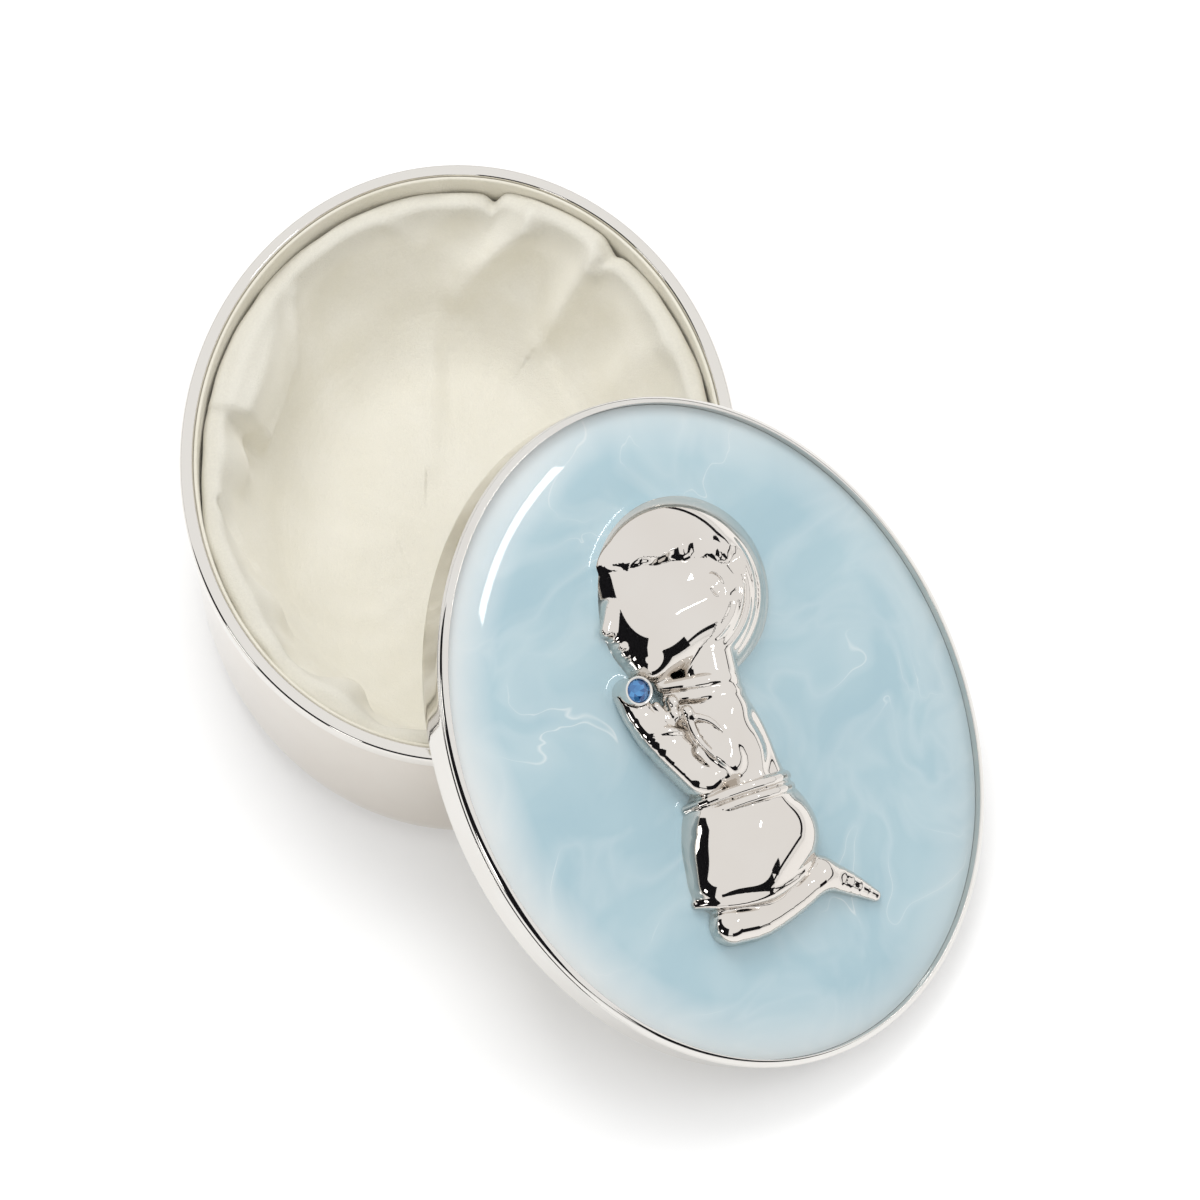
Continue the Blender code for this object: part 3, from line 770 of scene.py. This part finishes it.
def limb(u, v, w, line):
    # Tapered segments through (along, across, above, radius) points.
    if len(line) > 2:
        line = curved(line)
    total = None
    for first, second in zip(line, line[1:]):
        start = np.array(first[:3])
        way = np.array(second[:3]) - start
        share = ((u - start[0]) * way[0] + (v - start[1]) * way[1] + (w - start[2]) * way[2])
        share = np.clip(share / (way @ way), 0, 1)
        gap = np.sqrt((u - start[0] - share * way[0]) ** 2 + (v - start[1] - share * way[1]) ** 2
                      + (w - start[2] - share * way[2]) ** 2)
        gap -= first[3] + (second[3] - first[3]) * share
        total = gap if total is None else np.minimum(total, gap)
    return total


def groove(u, v, w, line, depth, width):
    # What a soft groove along a line takes off a field.
    gap = np.clip(limb(u, v, w, line), 0, 4)
    return depth * np.exp(-(gap / width) ** 2)


def merge(first, second, soft):
    # Union of two fields with a fillet of size soft.
    share = np.clip(0.5 + 0.5 * (second - first) / soft, 0, 1)
    return second * (1 - share) + first * share - soft * share * (1 - share)


def ramp(value, low, high):
    share = np.clip((value - low) / (high - low), 0, 1)
    return share * share * (3 - 2 * share)


# Outline of the skin, from the hairline over the brow to the ear and under the chin
HAIRLINE = (
    (-25.5, -9.0), (-24.0, -6.2), (-23.3, -4.0), (-22.6, -2.6), (-22.7, -1.2), (-21.9, 0.3),
    (-21.8, 1.8), (-21.1, 3.3), (-20.8, 4.8), (-20.2, 6.1), (-19.2, 7.4), (-18.4, 8.8),
    (-16.4, 8.6), (-15.2, 7.6), (-14.6, 5.0), (-12.3, 3.4), (-11.0, 1.3), (-9.4, -0.6),
    (-6.5, -3.0), (-6.5, -12.0), (-25.5, -12.0))


def inside_outline(u, v, outline):
    # Signed distance to a closed outline in the lid's plane, positive inside.
    best = np.full(np.shape(u), 1e9)
    inside = np.zeros(np.shape(u), dtype=bool)
    for first, second in zip(outline, outline[1:] + outline[:1]):
        gap, _, _ = segment_reach(u, v, first, second)
        best = np.minimum(best, gap)
        way_u, way_v = second[0] - first[0], second[1] - first[1]
        crosses = (first[1] > v) != (second[1] > v)
        if way_v != 0:
            at = first[0] + (v - first[1]) / way_v * way_u
            inside ^= crosses & (u < at)
    return np.where(inside, best, -best)


def head_field(u, v, w):
    head = ball(u, v, w, (-17.7, 3.75, -6.7), (13.0, 13.0, 13.0))
    skin = inside_outline(u, v, HAIRLINE)
    wide = 0.8 + 1.2 * ramp(v, 1.0, 5.0) * (1 - ramp(u, -18.8, -15.5))
    deep = 0.3 + 1.05 * (1 - ramp(u, -18.8, -15.5)) * ramp(v, -4.5, 1.5)
    head = head + deep * np.clip((skin + wide) / (wide + 0.15), 0, 1)
    cheeks = ball(u, v, w, (-15.2, -1.2, -3.6), (7.7, 7.2, 8.9))
    head = merge(head, cheeks + 0.5 * (1 - ramp(skin, -0.8, 0.3)), 1.8)
    # Strands run round the back of the head, from the ear to the nape.
    away = np.hypot(u + 18.0, v - 1.8)
    turn = np.arctan2(u + 18.0, v - 1.8)
    strands = np.sin(3.3 * away + 1.6 * turn) + 0.6 * np.sin(5.9 * away - 2.3 * turn + 1.0)
    behind = ramp(turn, -0.45, 0.25) * ramp(away, 4.5, 6.5) * (1 - 0.6 * ramp(away, 9.3, 10.6))
    head = head + strands * 0.10 * behind * ramp(-skin, 0.0, 0.8)
    # Soft locks over the brow
    lock = np.sin(1.9 * v + 0.7 * u) * ramp(-skin, 0.1, 0.6) * (1 - ramp(-skin, 1.4, 3.4))
    head = head + 0.07 * lock * (1 - behind)
    head = merge(head, limb(u, v, w, ((-19.6, -6.2, 1.4, 0.5), (-17.4, -7.7, 1.3, 0.8))), 0.9)
    head = merge(head, ball(u, v, w, (-11.7, -4.5, 1.1), (2.2, 2.1, 2.2)), 1.3)
    head = merge(head, ball(u, v, w, (-15.0, -6.8, 1.2), (0.5, 0.8, 1.1)), 0.6)
    head = merge(head, ball(u, v, w, (-14.0, -6.5, 1.1), (0.5, 0.8, 1.0)), 0.6)
    # The closed eye's lid, the brow and, after the ear, the hollow in it
    closed = ((-19.0, -3.6, 4.7, 0.1), (-18.5, -2.6, 5.2, 0.12), (-18.8, -1.4, 5.6, 0.1))
    head = head + groove(u, v, w, closed, 0.2, 0.2)
    brow = ((-21.0, -3.8, 4.4, 0.1), (-20.7, -2.4, 5.0, 0.2), (-20.3, -1.0, 5.5, 0.1))
    head = head - groove(u, v, w, brow, 0.12, 0.4)
    head = merge(head, ball(u, v, w, (-16.9, 5.4, 4.2), (1.75, 1.15, 1.7)), 0.3)
    return head + groove(u, v, w, ((-17.5, 5.2, 5.7, 0.3), (-16.3, 5.3, 5.7, 0.3)), 0.45, 0.4)


def figure_distance(u, v, w):
    u, v, w = (np.asarray(part, dtype=float) for part in (u, v, w))
    chest = ball(u, v, w, (0.2, -0.1, -1.6), (7.6, 5.8, 7.0))
    chest = merge(chest, limb(u, v, w, ((-3.0, 0.7, 0.7, 4.2), (7.2, 0.4, 0.7, 5.0))), 1.5)
    chest = merge(chest, ball(u, v, w, (-2.4, -3.6, 0.4), (5.4, 3.6, 2.9)), 1.2)
    body = merge(chest, limb(u, v, w, ((-10.0, 2.4, 0.9, 3.6), (-5.2, 1.0, 0.9, 3.9))), 0.8)
    # Upper arm, forearm in its sleeve, hands and thumb
    body = merge(body, limb(u, v, w, ((-3.0, 0.9, 2.7, 2.9), (1.6, -1.9, 3.2, 2.6))), 0.8)
    elbow = limb(u, v, w, ((1.6, -1.9, 3.2, 2.6), (2.7, -4.1, 2.1, 2.6)))
    body = merge(body, elbow, 0.6)
    arm = limb(u, v, w, ((1.8, -4.7, 1.7, 2.8), (-2.6, -6.8, 1.8, 2.5), (-4.8, -7.6, 1.8, 2.2)))
    body = merge(body, arm, 0.6)
    hand = limb(u, v, w, ((-4.6, -7.7, 1.6, 2.0), (-7.2, -8.4, 1.5, 1.9), (-9.6, -8.5, 1.4, 1.8)))
    body = merge(body, hand, 0.8)
    body = merge(body, limb(u, v, w, ((-4.8, -5.9, 3.1, 0.6), (-7.4, -6.7, 3.0, 0.5))), 0.3)
    cuff = limb(u, v, w, ((-5.2, -9.0, 1.0, 0.4), (-4.9, -8.3, 3.4, 0.45), (-4.2, -6.7, 4.1, 0.45),
                          (-3.4, -5.2, 3.5, 0.4)))
    body = merge(body, cuff, 0.35)
    # Two collar bands and the knot in front of them
    for shift, radius in ((0.0, 0.8), (1.5, 0.75)):
        band = limb(u, v, w, ((-8.9 + shift, -4.5, 1.6, radius * 0.9),
                              (-7.9 + shift, -1.4, 3.9, radius), (-6.8 + shift, 2.4, 3.9, radius),
                              (-5.9 + shift, 4.4, 1.4, radius)))
        body = merge(body, band, 0.35)
    for knot in ((-6.9, -4.7, 3.1), (-5.6, -5.2, 3.2), (-5.2, -3.9, 4.0)):
        body = merge(body, ball(u, v, w, knot, (0.95, 0.75, 0.9)), 0.3)
    tail = limb(u, v, w, ((-5.0, -4.0, 3.9, 0.6), (-2.2, -4.1, 4.1, 0.5), (0.4, -3.6, 4.9, 0.35)))
    body = merge(body, tail, 0.3)
    tail = limb(u, v, w, ((-5.2, -4.4, 3.6, 0.45), (-3.6, -2.4, 5.0, 0.4), (-1.6, -1.6, 5.8, 0.2)))
    body = merge(body, tail, 0.3)
    # Folds that run from the elbow over the sleeve and the back
    for line, depth, width in (
            (((-0.6, -4.9, 4.0, 0.1), (2.4, -3.4, 5.3, 0.1), (4.6, -3.0, 5.0, 0.1)), 0.55, 0.5),
            (((-1.8, -0.4, 6.2, 0.1), (2.0, 0.6, 5.9, 0.1), (5.0, -0.6, 5.6, 0.1)), 0.45, 0.8),
            (((-1.4, 3.4, 4.4, 0.1), (2.2, 3.6, 4.5, 0.1), (4.8, 2.2, 5.2, 0.1)), 0.4, 0.9)):
        body = body + groove(u, v, w, line, depth, width)
    # Tunic below the belt
    skirt = ball(u, v, w, (10.9, -1.5, -2.4), (8.0, 8.6, 8.7))
    skirt = merge(skirt, limb(u, v, w, ((8.6, -4.9, 0.2, 4.0), (14.0, -7.2, 0.2, 4.0))), 2.0)
    skirt = merge(skirt, limb(u, v, w, ((12.4, 1.4, 0.7, 4.9), (15.2, -3.2, 0.8, 4.2))), 1.8)
    waves = np.sin(1.45 * v + 0.25 * u) * np.exp(-np.clip(u - 7.8, 0, 9) / 1.4)
    skirt = skirt + 0.14 * waves
    hem = limb(u, v, w, ((15.2, -11.2, 0.5, 0.6), (16.4, -8.6, 2.9, 0.6), (17.3, -5.6, 3.6, 0.6),
                         (17.6, -2.2, 3.7, 0.6), (17.2, 1.4, 3.3, 0.55), (16.0, 4.4, 1.8, 0.5)))
    skirt = merge(skirt, hem, 0.6)
    body = merge(body, skirt, 0.5)
    for shift, radius in ((0.0, 0.65), (1.35, 0.6)):
        belt = limb(u, v, w, ((5.1 + shift, -7.4, 0.5, radius), (5.0 + shift, -5.6, 3.3, radius),
                              (5.2 + shift, -2.4, 5.3, radius), (5.9 + shift, 1.6, 5.4, radius),
                              (6.4 + shift, 4.4, 3.4, radius), (6.6 + shift, 5.3, 0.8, radius)))
        body = merge(body, belt, 0.22)
    leg = limb(u, v, w, ((19.0, -8.4, 0.8, 2.6), (19.8, -4.8, 0.8, 2.5), (19.5, 0.2, 0.9, 2.2),
                         (18.7, 4.0, 1.0, 2.0)))
    foot = limb(u, v, w, ((18.6, 4.4, 1.1, 1.9), (21.0, 7.1, 0.8, 1.5), (24.0, 10.0, 0.4, 0.75)))
    body = merge(body, merge(leg, foot, 1.2), 0.4)
    body = merge(body, head_field(u, v, w), 0.5)
    room = np.hypot(u - STONE_PLACE[0], v - STONE_PLACE[1]) - (BEZEL_OUTER / MM + 0.06)
    return np.maximum(body, -room)


def solid_from_field(field, low, high, step):
    # Surface nets: one vertex in each cell that the surface crosses, then settled on the surface.
    axes = [np.arange(low[axis], high[axis] + step, step) for axis in range(3)]
    grid = np.meshgrid(*axes, indexing="ij")
    value = field(*grid)
    cells = tuple(len(axis) - 1 for axis in axes)
    total = np.zeros(cells + (3,))
    count = np.zeros(cells)
    crossings = []
    for axis in range(3):
        before = range(0, value.shape[axis] - 1)
        first = np.take(value, before, axis)
        second = np.take(value, range(1, value.shape[axis]), axis)
        crossed = (first < 0) != (second < 0)
        share = np.where(crossed, first / np.where(crossed, first - second, 1), 0)
        point = np.stack([np.take(grid[k], before, axis) for k in range(3)], -1)
        point[..., axis] += share * step
        others = [k for k in range(3) if k != axis]
        for a in (0, 1):
            for b in (0, 1):
                window = [slice(None)] * 3
                window[others[0]] = slice(a, cells[others[0]] + a)
                window[others[1]] = slice(b, cells[others[1]] + b)
                window = tuple(window)
                total += np.where(crossed[window][..., None], point[window], 0)
                count += crossed[window]
        crossings.append((axis, others, crossed, first < 0))
    used = count > 0
    number = np.full(cells, -1)
    number[used] = np.arange(used.sum())
    vertices = total[used] / count[used][:, None]
    faces = []
    for axis, others, crossed, inner in crossings:
        spots = np.argwhere(crossed)
        keep = (spots[:, others[0]] > 0) & (spots[:, others[1]] > 0)
        keep &= (spots[:, others[0]] < cells[others[0]]) & (spots[:, others[1]] < cells[others[1]])
        spots = spots[keep]
        quads = []
        for a, b in ((-1, -1), (0, -1), (0, 0), (-1, 0)):
            cell = spots.copy()
            cell[:, others[0]] += a
            cell[:, others[1]] += b
            quads.append(number[tuple(cell.T)])
        quads = np.stack(quads, 1)
        flip = inner[tuple(spots.T)] ^ (axis == 1)
        quads[~flip] = quads[~flip][:, ::-1]
        faces += quads.tolist()
    for _ in range(3):
        vertices = settle(field, vertices, step)
    return vertices, faces


def field_slope(field, vertices, small):
    slope = np.zeros_like(vertices)
    for axis in range(3):
        ahead, behind = vertices.copy(), vertices.copy()
        ahead[:, axis] += small
        behind[:, axis] -= small
        slope[:, axis] = (field(*ahead.T) - field(*behind.T)) / (2 * small)
    return slope


def settle(field, vertices, step):
    # Moves each vertex along the field's slope onto the surface, by less than half a cell.
    spot = field(*vertices.T)
    slope = field_slope(field, vertices, step * 0.2)
    size = np.maximum((slope ** 2).sum(1), 0.05)
    shift = -(spot / size)[:, None] * slope
    length = np.linalg.norm(shift, axis=1)
    shift *= np.minimum(1, 0.4 * step / np.maximum(length, 1e-9))[:, None]
    return vertices + shift


def build_figure(silver):
    step = 0.24

    def field(u, v, w):
        return np.maximum(figure_distance(u, v, w), -w - 0.05)

    vertices, faces = solid_from_field(field, (-29, -13.5, -0.6), (26.5, 15, 8.6), step)
    child = make_piece("child_figure", vertices, faces, silver, LID @ FIGURE)
    slope = field_slope(field, vertices, 0.05) @ np.array((LID @ FIGURE).to_3x3()).T
    slope /= np.maximum(np.linalg.norm(slope, axis=1), 1e-9)[:, None]
    child.data.normals_split_custom_set_from_vertices(slope.tolist())
    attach(child, "lid")
    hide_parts("praying_child")


# Stone and setting

def circle_points(place, radius, height, count, shift=0.0):
    turns = [math.tau * (step + shift) / count for step in range(count)]
    return [(place[0] + radius * math.cos(turn), place[1] + radius * math.sin(turn), height)
            for turn in turns]


def build_stone(silver, blue):
    place = FIGURE @ Vector((*STONE_PLACE, 0))
    top = ENAMEL_TOP + FIT_GAP + BEZEL_HEIGHT
    inner = STONE_RADIUS + 0.03 * MM
    steps = 96
    profile = [
        (0.6 * MM, top - 1.5 * MM),
        (inner, top - 1.4 * MM),
        (inner, top - 0.25 * MM),
        (inner + 0.05 * MM, top - 0.08 * MM),
        (inner + 0.16 * MM, top),
        (inner + 0.34 * MM, top - 0.02 * MM),
        (BEZEL_OUTER - 0.06 * MM, top - 0.16 * MM),
        (BEZEL_OUTER, top - 0.4 * MM),
        (BEZEL_OUTER, top - 1.2 * MM),
        (BEZEL_OUTER, ENAMEL_TOP + 0.1 * MM),
        (BEZEL_OUTER * 0.98, ENAMEL_TOP - 0.05 * MM),
    ]
    vertices = []
    for radius, height in profile:
        vertices += circle_points(place, radius, height, steps)
    faces = ring_faces(len(profile), steps)
    bezel = make_piece("stone_bezel", vertices, faces, silver, LID, smooth_angle=60)
    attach(bezel, "lid")
    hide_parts("stone_setting")

    # A round cut: table, eight crown mains split by star and girdle facets, and a cone below.
    # Vertex 0 is the table's middle, 1 to 8 its corners, then 8 on the crown and 16 on the girdle.
    girdle = top - 0.32 * MM
    crown = 0.34 * MM
    vertices = [(place[0], place[1], girdle + crown)]
    vertices += circle_points(place, 0.52 * STONE_RADIUS, girdle + crown, 8)
    vertices += circle_points(place, 0.76 * STONE_RADIUS, girdle + crown * 0.52, 8, 0.5)
    vertices += circle_points(place, STONE_RADIUS, girdle, 16)
    vertices.append((place[0], place[1], girdle - 0.8 * MM))
    foot = len(vertices) - 1
    faces = []
    for step in range(8):
        after = (step + 1) % 8
        table, table_next = 1 + step, 1 + after
        mid, mid_before = 9 + step, 9 + (step - 1) % 8
        rim = [17 + (2 * step + k) % 16 for k in range(3)]
        faces.append((0, table, table_next))
        faces.append((table, mid, table_next))
        faces.append((mid_before, rim[0], mid, table))
        faces.append((mid, rim[0], rim[1]))
        faces.append((mid, rim[1], rim[2]))
    for step in range(16):
        faces.append((17 + step, foot, 17 + (step + 1) % 16))
    stone = make_piece("cut_stone", vertices, faces, blue, LID, smooth_angle=1)
    # Painted reflection: each facet gets its own random value between the dark and the light blue.
    tones = np.random.default_rng(4).permutation(np.linspace(0, 1, len(stone.data.polygons)))
    store_values(stone, "facet", "FACE", tones)
    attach(stone, "lid")
    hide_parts("blue_stone")


# Surroundings

def seen_directly(tree):
    # 1 where the camera, a mirror or glass looks at it, and 0 where it lights the scene.
    ray = add_node(tree, "ShaderNodeLightPath")
    seen = ray.outputs["Is Camera Ray"]
    for kind in ("Is Glossy Ray", "Is Transmission Ray"):
        seen = calculate(tree, "MAXIMUM", seen, ray.outputs[kind])
    return seen


def plain_mesh(name, vertices, faces, material):
    mesh = bpy.data.meshes.new(name)
    mesh.from_pydata(vertices, [], faces)
    mesh.materials.append(material)
    return link_object(name, mesh)


def build_floor():
    material, tree, shader = new_material("floor_white")
    set_inputs(tree, shader, {
        "Base Color": (0.86, 0.86, 0.86, 1), "Roughness": 0.8, "Specular IOR Level": 0.1,
        "Emission Color": (1, 1, 1, 1),
        "Emission Strength": calculate(tree, "MULTIPLY", seen_directly(tree), FLOOR_GLOW)})
    size = 6.0
    corners = [(-size, -size, 0), (size, -size, 0), (size, size, 0), (-size, size, 0)]
    floor = plain_mesh("floor", corners, [(0, 1, 2, 3)], material)
    floor.location.z = -0.2 * MM


def build_band(name, distance, turn_from, turn_to, rise_from, rise_to):
    # A dark curtain that only mirrors see, between two bearings and two elevations, in degrees.
    material, tree, shader = new_material(name)
    set_inputs(tree, shader, {"Base Color": (0.012, 0.012, 0.014, 1), "Roughness": 1.0,
                              "Specular IOR Level": 0.0})
    steps = max(4, round((turn_to - turn_from) / 6))
    vertices = []
    for step in range(steps + 1):
        turn = math.radians(turn_from + (turn_to - turn_from) * step / steps)
        for rise in (rise_from, rise_to):
            vertices.append((distance * math.cos(turn), distance * math.sin(turn),
                             distance * math.tan(math.radians(rise))))
    faces = [(2 * step, 2 * step + 2, 2 * step + 3, 2 * step + 1) for step in range(steps)]
    curtain = plain_mesh(name, vertices, faces, material)
    curtain.visible_camera = False
    curtain.visible_diffuse = False
    curtain.visible_shadow = False
    curtain.visible_transmission = False


def build_lamp(name, centre, aim, size, power, roll=0.0, mirrored=True):
    data = bpy.data.lights.new(name, "AREA")
    data.shape = "RECTANGLE"
    data.size, data.size_y = size
    data.energy = power
    lamp = link_object(name, data)
    way = Vector(aim) - Vector(centre)
    turn = way.to_track_quat("-Z", "Y").to_matrix().to_4x4()
    turn = turn @ Matrix.Rotation(math.radians(roll), 4, "Z")
    lamp.matrix_world = Matrix.Translation(centre) @ turn
    lamp.visible_glossy = mirrored


def at_bearing(distance, turn, rise):
    # A point at a bearing from +X and an elevation, in degrees, round the box.
    flat = distance * math.cos(math.radians(rise))
    return (flat * math.cos(math.radians(turn)), flat * math.sin(math.radians(turn)),
            distance * math.sin(math.radians(rise)))


def build_surroundings():
    scene = bpy.context.scene
    scene.view_settings.view_transform = "Standard"
    world = bpy.data.worlds.new("studio")
    scene.world = world
    world.use_nodes = True
    tree = world.node_tree
    back = tree.nodes["Background"]
    level = spread(tree, seen_directly(tree), 0.0, 1.0, WORLD_LIGHT, 1.0)
    set_inputs(tree, back, {"Color": (1, 1, 1, 1), "Strength": level})
    build_floor()
    build_lamp("key", (-0.12, 0.52, 1.15), (0, 0, 0), (0.6, 0.5), 5.0, mirrored=False)
    build_lamp("top", (0.0, -0.05, 1.25), (0, 0, 0), (0.7, 0.7), 2.2, mirrored=False)
    # The strip lamp is mirrored as the long highlight on the enamel.
    build_lamp("strip", (0.883, -0.077, 1.243), (0.028, -0.038, 0.025), (0.31, 0.055), 0.68,
               roll=-20)
    build_lamp("window_left", at_bearing(0.9, 188, 22), (0, 0, 0), (0.16, 0.14), 0.25)
    build_lamp("window_front", at_bearing(0.9, 226, 17), (0, 0, 0), (0.16, 0.12), 0.25)
    build_band("horizon", 1.6, 0, 360, 6, 10)
    build_band("curtain_left", 1.2, 166, 256, 3, 42)
    build_band("curtain_front", 1.2, 275, 323, 2, 20)


def build_camera():
    data = bpy.data.cameras.new("camera")
    data.lens = CAMERA_LENS
    data.sensor_width = 36.0
    data.clip_start = 0.01
    camera = link_object("camera", data)
    camera.location = CAMERA_AT
    camera.rotation_euler = (math.pi / 2 - CAMERA_DOWN, 0, CAMERA_TURN)
    bpy.context.scene.camera = camera


def main():
    build_camera()
    build_surroundings()
    build_cup(silver_material("silver_plate", CUP_SILVER, 0.06, rim=RIM_HIGHLIGHT_SILVER))
    build_strip(velvet_material("strip_velvet", *STRIP_VELVET))
    build_sheet(velvet_material("cream_velvet", *SHEET_VELVET, painted_edge_shade=True))
    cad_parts["floor_card"].material_slots[0].material = card_material("lining_card")
    build_lid_shell(silver_material("lid_silver", LID_SILVER, 0.05))
    build_enamel(enamel_material("pearl_enamel"))
    build_lid_lining(velvet_material("lid_velvet", *LID_VELVET))
    build_figure(silver_material("figure_silver", FIGURE_SILVER, 0.035, 0.01))
    build_stone(silver_material("setting_silver", LID_SILVER, 0.06), stone_material("blue_glass"))


main()
